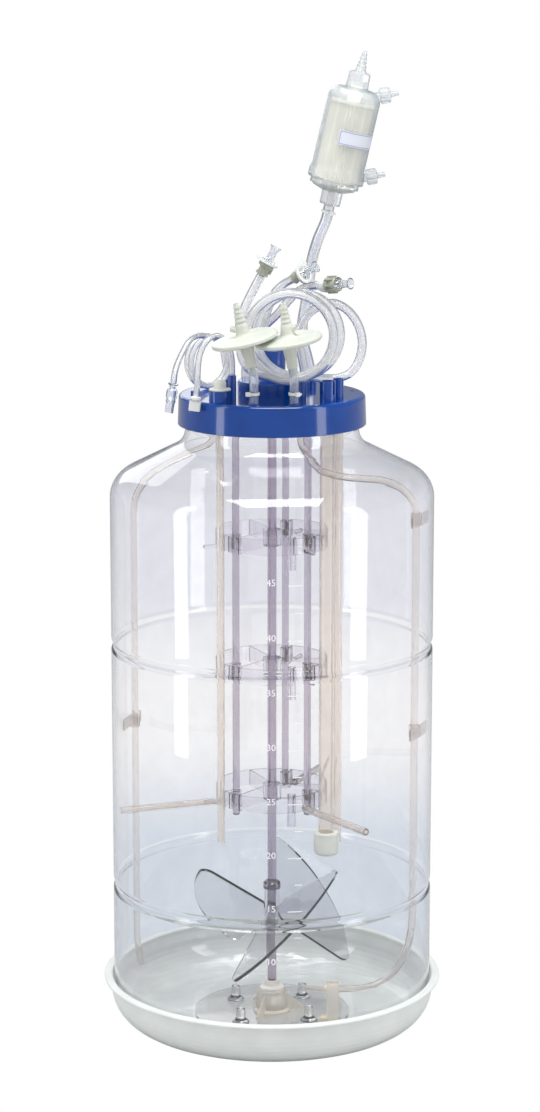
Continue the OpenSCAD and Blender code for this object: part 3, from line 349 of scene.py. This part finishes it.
def main_line():
    """The long hose: up from its port and over to the right, a turn behind, two turns in front, and
    a last third of a turn that rolls over them, then up to the left-hand coupling. Each turn moves
    forward by one hose where it passes the bottom."""
    rise = [[34, 27, PORT_TOP_MM], [34, 27, 705], [31.5, 25, 720], [28.5, 22, 736], [30, 19, 752],
            [37, 16, 766], [50, 14, 776], [65, 12, 779], [79, 10, 772], [90, 8, 757], [94.5, 6, 738],
            [91, 4, 720], [82, 1, 707.5], [68, -3.5, 702.5], [54, -7.5, 702.5], [46, -9.5, 704]]
    x, y, z = MAIN_CENTRE_MM
    u = np.linspace(*MAIN_TURNS, 100)
    step = [eased((u - k) * 9) for k in range(4)]
    roll = np.radians(ROLL) * eased((u - ROLL_FROM) / ROLL_WITHIN)
    r = MAIN_TURN_MM + step[1] + HOSE_MM * np.sin(roll)
    a = np.radians(MAIN_START - 360 * u)
    coil = np.stack([x - MAIN_OVER_MM * step[1] + r * np.cos(a),
                     y - HOSE_MM * (sum(step) - (1 - np.cos(roll))), z + r * np.sin(a)], 1)
    tail = [[-29.5, -33, 776], [-24, -31, 789]] + lead(LEFT_END_MM, 15)
    return through(rise + coil.tolist() + tail)


def thin_line():
    """The thin hose: up from its port, two turns and a quarter that drift forward, then over to the
    left and down to the quick connector."""
    out, face, up = np.array(THIN_OUT), np.array(THIN_FACE), np.array([0, 0, 1])
    u = np.linspace(*THIN_TURNS, 70)[:, None]
    a = 2 * np.pi * u
    coil = (np.array(THIN_CENTRE_MM) + THIN_TURN_MM * (np.cos(a) * out + np.sin(a) * up)
            + (THIN_MM * (u - THIN_MIDDLE_TURN)) * face)
    rise = [[-48, 46.7, PORT_TOP_MM], [-48, 46.7, 702], [-50, 49, 712]]
    tail = [[-70, 15.5, 744], [-78, 6, 745.5], [-86, -4, 742], [-93, -16, 731.5],
            [-98.5, -28.5, 720], [-101, -36, 710.5], QUICK_END_MM[0]]
    return through(rise + coil.tolist() + tail, 1.6)


def plug_line():
    """The second thin hose: up from the tall port, over to the left in one bend and down to its plug."""
    return through([[-41.5, -30, TALL_PORT_TOP_MM], [-41.5, -30, 717], [-42, -31, 727], [-44, -33.5, 737],
                    [-48.5, -38, 746], [-55, -44, 751.5], [-62.5, -51, 751.5], [-69, -57, 746],
                    [-73.5, -62, 737], [-75.7, -66, 726], [-76.4, -69, 714]] + lead(PLUG_END_MM, 10), 1.6)


def middle_line():
    """The middle hose: up behind the hub, then forward and over to the right to its coupling."""
    return through([[-6, 44, PORT_TOP_MM], [-6, 44, 704], [-7, 42, 718], [-9, 36, 734], [-9, 29, 750],
                    [-6, 24, 766], [-1, 22, 780], [5, 19, 792]] + lead(MIDDLE_END_MM, 12))


def right_line():
    """The right-hand hose: up from a port to the left of the middle one's, then over to the right
    behind the middle hose to its coupling."""
    return through([[-28, 52, PORT_TOP_MM], [-28, 52, 704], [-26, 50, 720], [-19, 46, 736], [-8, 40.5, 751],
                    [6, 30, 766], [16, 24, 779], [26, 19.5, 790]] + lead(RIGHT_END_MM, 14))


def exhaust_line():
    """The exhaust hose: up from its port with a slight sway, leaning over into the capsule's foot."""
    return through([[40, 42, PORT_TOP_MM], [40, 42, 706], [37, 40, 720], [33, 37, 736], [32, 33, 754],
                    [35, 31, 774], [38.5, 28, 797], [41.5, 22.5, 822], [48, 17, 846],
                    [56.228, 14, 866.204], [59.8, 14, 881.8]])


# name, line, diameter, a direction that the line never follows, CAD nodes, pieces on its end, far end,
# stiffness, lay
HOSES = (
    ("main_hose", main_line(), HOSE_MM, (0.1, 1, 0.25),
     ("main_hose_feed", "main_hose_coil", "main_hose_tail"),
     ("left_connector", "left_connector_funnel"), "connector", "limp", "coiled"),
    ("middle_hose_tube", middle_line(), HOSE_MM, (1, 0.2, -0.3), ("middle_hose",),
     ("middle_connector", "middle_connector_funnel"), "connector", "limp", "loose"),
    ("right_hose_tube", right_line(), HOSE_MM, (0.4, 0.9, -0.3), ("right_hose",),
     ("right_connector", "right_connector_funnel", "connector_seals"), "connector", "limp", "loose"),
    ("thin_hose", thin_line(), THIN_MM, (0.643, -0.766, 0.2),
     ("thin_hose_start", "thin_hose_coil", "thin_hose_tail"),
     ("quick_connector",), "fitting", "limp", "coiled"),
    ("plug_hose_tube", plug_line(), THIN_MM, (0.5, -0.85, 0.1),
     ("plug_hose",), ("hose_plug",), "plug", "limp", "loose"),
    ("exhaust_tube", exhaust_line(), EXHAUST_MM, (-0.5, 0.8, 0.1),
     ("exhaust_hose",), (), "object", "medium", "loose"),
)


def make_hoses():
    """Each hose as a surface on the frame, in place of its CAD nodes, which are hidden."""
    made = {}
    for name, line, across_mm, across, nodes, ends, far_end, stiffness, lay in HOSES:
        piece = hose_surface(name, line, across_mm / 2, across)
        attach(piece, "frame")
        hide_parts(*nodes)
        made[name] = piece
    return made


hoses = make_hoses()

# ------------------------------------------------------------------ vessel


def arc(centre, radius, start, end, steps=12):
    """Points on an arc, from one angle in degrees to another."""
    a = np.radians(np.linspace(start, end, steps))
    return np.stack([centre[0] + radius * np.cos(a), centre[1] + radius * np.sin(a)], 1)


def revolved(name, outline_mm, turns=192):
    """A closed outline of radius and height that starts and ends on the axis, turned round it: each
    point goes to (radius cos a, radius sin a, height), and the ends close in a fan."""
    outline = np.asarray(outline_mm, float)
    ends, ring = outline[[0, -1]], outline[1:-1]
    a = np.linspace(0, 2 * np.pi, turns, endpoint=False)
    wall = np.stack([ring[:, :1] * np.cos(a), ring[:, :1] * np.sin(a), np.repeat(ring[:, 1:], turns, 1)], -1)
    poles = np.stack([0 * ends[:, 0], 0 * ends[:, 0], ends[:, 1]], 1)
    points = np.vstack([wall.reshape(-1, 3), poles])
    last, i = (len(ring) - 1) * turns, np.arange(turns)
    j = (i + 1) % turns
    faces = grid_faces(len(ring), turns).tolist()
    faces += np.stack([0 * i + last + turns, j, i], 1).tolist()
    faces += np.stack([0 * i + last + turns + 1, last + i, last + j], 1).tolist()
    return surface(name, points * MM, faces)


VESSEL_MM = 171             # outer radius
CORNER_MM = 36.5            # radius of the corner at the floor
SHOULDER_MM = 32            # radius of the shoulder, and the height where it starts
SHOULDER_FOOT_MM = 577
CONE_SLOPE = 26.5           # degrees
NECK_MM, NECK_LENGTH_MM, NECK_FILLET_MM = 91.5, 29.3, 20
GROOVES_MM = (157, 420)     # heights of the two grooves
GROOVE_HALF_MM, GROOVE_DEPTH_MM = 7, 2.4
WALL_MM = 3
FLOOR_MM = (2.3, 4.7)       # underside and top of the floor


def vessel_side(t, base, top):
    """The vessel's outline at a distance t inside its outer surface, from the centre of its floor at
    the height base: floor, rounded corner, straight wall with two grooves whose depth falls off as a
    cosine, rounded shoulder, cone and neck up to top."""
    k = np.linspace(-1, 1, 17)
    bottoms = VESSEL_MM - t - GROOVE_DEPTH_MM / 2 * (1 + np.cos(np.pi * k))
    grooves = [np.stack([bottoms, z + GROOVE_HALF_MM * k], 1) for z in GROOVES_MM]
    corner = arc((VESSEL_MM - CORNER_MM, base - t + CORNER_MM), CORNER_MM - t, -90, 0)
    shoulder = arc((VESSEL_MM - SHOULDER_MM, SHOULDER_FOOT_MM), SHOULDER_MM - t, 0, 90 - CONE_SLOPE)
    fillet = arc((NECK_MM + NECK_FILLET_MM, top - NECK_LENGTH_MM), NECK_FILLET_MM + t, 270 - CONE_SLOPE, 180)
    return np.vstack([[[0, base]], corner, *grooves, shoulder, fillet, [[NECK_MM - t, top]]])


def vessel_shell():
    """Clear vessel. Its floor is 0.3 mm off the tray and the foot plate, so that no two faces share
    a plane."""
    top = float(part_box("vessel")[1][2]) / MM
    outer, inner = (vessel_side(t, base, top) for t, base in zip((0, WALL_MM), FLOOR_MM))
    piece = revolved("vessel_shell", np.vstack([outer, inner[::-1]]))
    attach(piece, "frame")
    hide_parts("vessel")
    return piece


vessel = vessel_shell()

# ------------------------------------------------------------------ printed marks and label

LITRE_MM = 11.41            # height of a litre
TEN_LITRES_MM = 116         # height of the ten litre mark
PRINT_MM, BORDER_OUT_MM = 0.12, 0.06        # how far the scale and the label's border stand out
RUNG_RIGHT_MM, LONG_RUNG_MM, SHORT_RUNG_MM, RUNG_HALF_MM = 31, 16, 23, 0.5
NUMBER_MM, NUMBER_X_MM = 9.8, -1
CAPSULE_FOOT_MM = (59.8, 14, 881.8)
CAPSULE_LEAN = math.radians(12.9)
LABEL_MM = 27.65            # radius of the capsule's label
LABEL_SIDES_MM = (-7.5, 40, 64.6, 79.4)     # left and right round the capsule, foot and top along it
BORDER_IN_MM, BORDER_MM = 0.9, 0.45


def rectangles(sides, columns=13):
    """Flat rectangles, each from its left, right, foot and top, as one grid of points and its quads."""
    points, faces = [], []
    for n, (left, right, foot, top) in enumerate(sides):
        x, z = np.meshgrid(np.linspace(left, right, columns), [foot, top])
        points.append(np.stack([x.ravel(), z.ravel()], 1))
        faces.append(grid_faces(2, columns, False) + 2 * columns * n)
    return np.vstack(points), np.vstack(faces)


def wrapped(flat, radius):
    """Flat points bent round an upright cylinder: x goes round it from the front, as x / radius."""
    a = flat[:, 0] / radius
    return np.stack([radius * np.sin(a), -radius * np.cos(a), flat[:, 1]], 1)


def on_capsule(flat, radius):
    """The same round the capsule: bent, turned about Y by its lean, then set on its foot."""
    x, y, z = wrapped(flat, radius).T
    c, s = math.cos(CAPSULE_LEAN), math.sin(CAPSULE_LEAN)
    return np.stack([x * c + z * s, y, z * c - x * s], 1) + CAPSULE_FOOT_MM


def litre_height(litres):
    """Height of a litre mark: that of ten litres, and the same step for each litre above it."""
    return TEN_LITRES_MM + LITRE_MM * (litres - 10)


def printed(name, points_mm, faces):
    """A piece of print on something that stands still."""
    piece = surface(name, points_mm * MM, faces)
    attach(piece, "frame")
    return piece


def scale_rungs():
    """A rung on the wall every 2.5 litres, long at each fifth litre."""
    litres = np.arange(10, 45.1, 2.5)
    left = np.where(litres % 5 == 0, LONG_RUNG_MM, SHORT_RUNG_MM)
    return rectangles([(x, RUNG_RIGHT_MM, litre_height(n) - RUNG_HALF_MM, litre_height(n) + RUNG_HALF_MM)
                       for x, n in zip(left, litres)], 7)


def scale_numbers():
    """The litres from 10 to 45 in fives, beside the long rungs: each number's outline as a mesh."""
    points, faces, used = [], [], 0
    for litres in range(10, 50, 5):
        letters = bpy.data.curves.new("number", "FONT")
        letters.body, letters.size = str(litres), NUMBER_MM
        letters.align_x, letters.resolution_u = "CENTER", 3
        holder = bpy.data.objects.new("number", letters)
        mesh = bpy.data.meshes.new_from_object(holder)
        flat = np.empty(len(mesh.vertices) * 3)
        mesh.vertices.foreach_get("co", flat)
        points.append(flat.reshape(-1, 3)[:, :2] + (NUMBER_X_MM, litre_height(litres)))
        faces += [[used + v for v in face.vertices] for face in mesh.polygons]
        used += len(mesh.vertices)
        bpy.data.objects.remove(holder)
        bpy.data.meshes.remove(mesh)
        bpy.data.curves.remove(letters)
    return np.vstack(points), faces


def label_border():
    """Four strips set in from the label's edges."""
    left, right, foot, top = np.add(LABEL_SIDES_MM, BORDER_IN_MM * np.array([1, -1, 1, -1]))
    low, high = foot + BORDER_MM, top - BORDER_MM
    return rectangles([(left, right, foot, low), (left, right, high, top),
                       (left, left + BORDER_MM, low, high), (right - BORDER_MM, right, low, high)], 41)


def print_marks():
    """The volume scale on the vessel's wall and the blank label on the capsule, by their finish."""
    print_mm = VESSEL_MM + PRINT_MM
    (rungs, rung_faces), (numbers, number_faces) = scale_rungs(), scale_numbers()
    (sheet, sheet_faces), (border, border_faces) = rectangles([LABEL_SIDES_MM], 41), label_border()
    return {
        "mark": [printed("scale_rungs", wrapped(rungs, print_mm), rung_faces),
                 printed("scale_numbers", wrapped(numbers, print_mm), number_faces)],
        "label": [printed("capsule_label", on_capsule(sheet, LABEL_MM), sheet_faces)],
        "border": [printed("capsule_label_border", on_capsule(border, LABEL_MM + BORDER_OUT_MM), border_faces)],
    }


marks = print_marks()

# ------------------------------------------------------------------ finishes


def rgb(*display):
    """A colour of display values from 0 to 255, as the linear colour that a shader takes."""
    return tuple(v / 255 / 12.92 if v <= 10 else ((v / 255 + 0.055) / 1.055) ** 2.4 for v in display)


def solid(colour):
    """A colour with its alpha of 1."""
    return (*colour, 1.0)


def moulded(name, colour, rough, grain, mottle, soft=0.0, coat=0.0):
    """Moulded plastic: a faint cloudiness of the colour, a fine grain in the gloss and the relief.
    soft is how far light sinks in, and coat how much of a gloss lies on top."""
    f = Finish(name)
    cloud, fine = f.noise(38, 3), f.noise(900, 2)
    dark = solid(c * (1 - 2.2 * mottle) for c in colour)
    light = solid(min(1, c * (1 + 1.2 * mottle)) for c in colour)
    tone = f.mixed(cloud.ramp(0.3, 0.7), dark, light)
    return f.done(f.principled(Base_Color=tone, Roughness=(rough + (fine - 0.5) * 0.12).clamped(),
                               Subsurface_Weight=soft, Subsurface_Radius=(0.01, 0.01, 0.008),
                               Coat_Weight=coat, Normal=f.bump(fine, grain, 0.05)))


def glass(name, tint, edge_shade, rough=0.02, ior=1.5, clear=1.0, wave=0.06, turn=(0.6, 1.0)):
    """Clear polished plastic that bends what shows through it. Its colour is a little uneven, and goes
    to the rim colour, a painted edge shade, where the wall turns away from the eye: partly because the
    light has more of the tint to cross there, partly painted shade for the dark edges that bent light
    shows. Its skin is faintly wavy. clear is how little of it is milky."""
    f = Finish(name)
    swirl = f.noise(55, 3)
    body = f.mixed(swirl.ramp(0.3, 0.7), solid(0.97 * c for c in tint), solid(tint))
    # Partly painted shade: the colour darkens to the edge shade where the wall turns away from the eye.
    tone = f.mixed(f.away().ramp(*turn), body, solid(edge_shade))
    wall = f.principled(Base_Color=tone, Roughness=rough, IOR=ior, Transmission_Weight=clear,
                        Normal=f.bump(swirl, wave, 0.2))
    return f.lets_lamps_in(wall, solid(tint))


SIDE_ON = (0.5, 0.95)       # how far round a small tube's wall its painted edge shade starts and is full

# Each glass finish: its tint, then its edge shade, partly the tint crossed at a slant and partly painted shade
# at the edges.
FINISHES = {
    "tray": moulded("tray_sheet", rgb(226, 230, 227), 0.36, 0.1, 0.02),
    "vessel": glass("vessel_wall", (0.975, 0.98, 0.985), (0.52, 0.58, 0.64), ior=1.57, wave=0.03,
                    turn=(0.76, 1.0)),
    "lid": moulded("lid_blue", rgb(0, 64, 148), 0.14, 0.03, 0.05, coat=0.7),
    "seal": moulded("seal_rubber", rgb(214, 214, 210), 0.55, 0.1, 0.03),
    "magnet": moulded("cup_dark", rgb(70, 70, 76), 0.5, 0.2, 0.05),
    "bush": moulded("bush_ivory", rgb(222, 218, 208), 0.4, 0.1, 0.03),
    "rod": glass("smoky_rod", (0.58, 0.52, 0.6), (0.14, 0.1, 0.16), turn=(0.5, 1.0)),
    "spider": glass("smoky_spider", (0.93, 0.91, 0.945), (0.01, 0.01, 0.02), turn=(0.6, 0.76)),
    "shaft": glass("smoky_shaft", (0.5, 0.43, 0.52), (0.14, 0.1, 0.16), turn=(0.5, 1.0)),
    "blade": glass("impeller_clear", (0.86, 0.86, 0.88), (0.1, 0.1, 0.12), turn=(0.7, 1.0)),
    "foot": glass("foot_clear", (0.985, 0.985, 0.98), (0.9, 0.92, 0.92), turn=(0.8, 1.0)),
    "tan": glass("foot_tan", (0.97, 0.925, 0.85), (0.8, 0.72, 0.62), 0.12, 1.4, 0.7),
    "line": glass("line_beige", (0.89, 0.84, 0.81), (0.3, 0.27, 0.26), 0.08, 1.42, 0.9, 0.015, SIDE_ON),
    "sleeve": glass("sleeve_pale", (0.95, 0.905, 0.86), (0.5, 0.47, 0.46), 0.06, 1.42, 0.9, 0.01, SIDE_ON),
    "cap": moulded("cap_grey", rgb(208, 211, 204), 0.5, 0.2, 0.04, soft=0.2),
    "tube": glass("clear_sleeve", (0.9, 0.92, 0.95), (0.6, 0.64, 0.68), 0.05, 1.43, 0.9),
    "filter": moulded("filter_white", rgb(208, 212, 201), 0.3, 0.15, 0.04, soft=0.3),
    "white": moulded("white_moulding", rgb(222, 223, 221), 0.34, 0.1, 0.02),
    "septum": moulded("septum_white", rgb(226, 228, 220), 0.5, 0.2, 0.03, soft=0.2),
    "capsule": glass("capsule_shell", (0.85, 0.865, 0.87), (0.44, 0.5, 0.52), 0.14, 1.35, 0.74,
                     turn=(0.3, 0.9)),
    "media": moulded("pleated_media", rgb(246, 241, 222), 0.7, 0.3, 0.03),
    "valve": glass("valve_white", (0.78, 0.8, 0.81), (0.4, 0.45, 0.47), 0.14, 1.35, 0.6, turn=(0.3, 0.9)),
    "grey": moulded("coupling_grey", rgb(160, 163, 148), 0.28, 0.15, 0.06),
    "funnel": glass("coupling_clear", (0.9, 0.92, 0.94), (0.5, 0.54, 0.58), 0.05, clear=0.95),
    "hose": glass("silicone_hose", (0.88, 0.885, 0.89), (0.3, 0.32, 0.34), 0.12, 1.36, 0.8, 0.02, SIDE_ON),
    "exhaust": glass("exhaust_hose", (0.87, 0.89, 0.92), (0.34, 0.38, 0.44), 0.08, 1.42, 0.9, 0.02, SIDE_ON),
    "mark": moulded("mark_white", rgb(250, 250, 252), 0.5, 0.05, 0.01),
    "label": moulded("label_white", rgb(218, 222, 232), 0.45, 0.05, 0.01),
    "border": moulded("label_blue", rgb(70, 100, 176), 0.45, 0.05, 0.02),
}

NODE_FINISH = {
    "tray": ("base_tray",),
    "lid": ("headplate",),
    "seal": ("neck_seal",),
    "magnet": ("magnet_cup",),
    "bush": ("pivot_bush", "foot_bush"),
    "shaft": ("agitator_shaft", "shaft_collar"),
    "spider": ("spider_upper", "spider_middle", "spider_lower"),
    "rod": ("support_rod_front_left", "support_rod_front_right", "support_rod_rear"),
    "blade": ("impeller",),
    "foot": ("foot_plate",),
    "tan": ("foot_bearing", "sparge_bracket"),
    "line": ("stay_arm_left", "stay_arm_right", "stay_arm_rear", "sparge_line", "harvest_line", "wall_clips",
             "sparge_nozzle"),
    "sleeve": ("septum_tube", "probe_sleeve", "thermowell"),
    "cap": ("probe_sleeve_cap",),
    "tube": ("filter_sleeve_left", "filter_sleeve_right"),
    "filter": ("vent_filter_left", "vent_filter_right"),
    "white": ("hose_ties", "connector_seals", "hose_plug"),
    "septum": ("septum_cap",),
    "capsule": ("capsule_shell",),
    "media": ("capsule_cartridge",),
    "valve": ("capsule_valve_upper", "capsule_valve_lower"),
    "grey": ("left_connector", "middle_connector", "right_connector"),
    "funnel": ("left_connector_funnel", "middle_connector_funnel", "right_connector_funnel",
               "quick_connector"),
}


def dress(piece, finish):
    """Gives every slot of a piece one finish."""
    slots = piece.data.materials
    if not len(slots):
        slots.append(FINISHES[finish])
    for i in range(len(slots)):
        slots[i] = FINISHES[finish]


for finish, names in NODE_FINISH.items():
    for node_name in names:
        dress(NODES[node_name], finish)
dress(vessel, "vessel")
for finish, pieces in marks.items():
    for piece in pieces:
        dress(piece, finish)
for hose_name, hose in hoses.items():
    dress(hose, "exhaust" if hose_name == "exhaust_tube" else "hose")

# ------------------------------------------------------------------ floor


FLOOR_RINGS = (0.02, 0.5, 2, 8, 30)
FLOOR_SIDES = 48
FLOOR_GAP = 0.0005          # how far the floor is below the tray
NEAR_SHADE, FAR_SHADE = (0.68, 1.15), (1.55, 2.2)   # where the near shade fades, and the far one begins


def floor():
    """A wide disc under the tray, in rings of points out to 30 m. It is white to the eye, glows with painted
    shade near the object and far away where it is seen through clear plastic, and lights things more weakly."""
    r = np.array(FLOOR_RINGS)[:, None]
    a = np.linspace(0, 2 * np.pi, FLOOR_SIDES, endpoint=False)
    points = np.stack([r * np.cos(a), r * np.sin(a), 0 * r * a - FLOOR_GAP], -1)
    middle = list(range(FLOOR_SIDES))
    piece = surface("floor", points.reshape(-1, 3), [*grid_faces(len(r), FLOOR_SIDES), middle])
    f = Finish("floor_pale")
    tone = f.mixed(f.noise(3, 2).ramp(0.3, 0.7), (0.54, 0.54, 0.54, 1), (0.56, 0.56, 0.56, 1))
    table = f.principled(Base_Color=tone, Roughness=0.9)
    white = f.node("Emission", None, {"Color": (1, 1, 1, 1), "Strength": 1.0})
    # Painted shade: seen through clear plastic, the floor glows bluish grey near the object, white further out
    # and grey far away.
    far = f.node("VectorMath", {"operation": "LENGTH"}, {0: f.place()}, out=1)
    near_shade = f.mixed(far.ramp(*NEAR_SHADE), (0.69, 0.74, 0.82, 1), (1, 0.99, 1, 1))
    shade = f.mixed(far.ramp(*FAR_SHADE), near_shade, (0.83, 0.83, 0.89, 1))
    shaded = f.node("Emission", None, {"Color": shade, "Strength": 1.0})
    unseen = f.either(table, shaded, f.seen_through())
    piece.data.materials.append(f.done(f.either(unseen, white, f.ray("Camera"))))


floor()
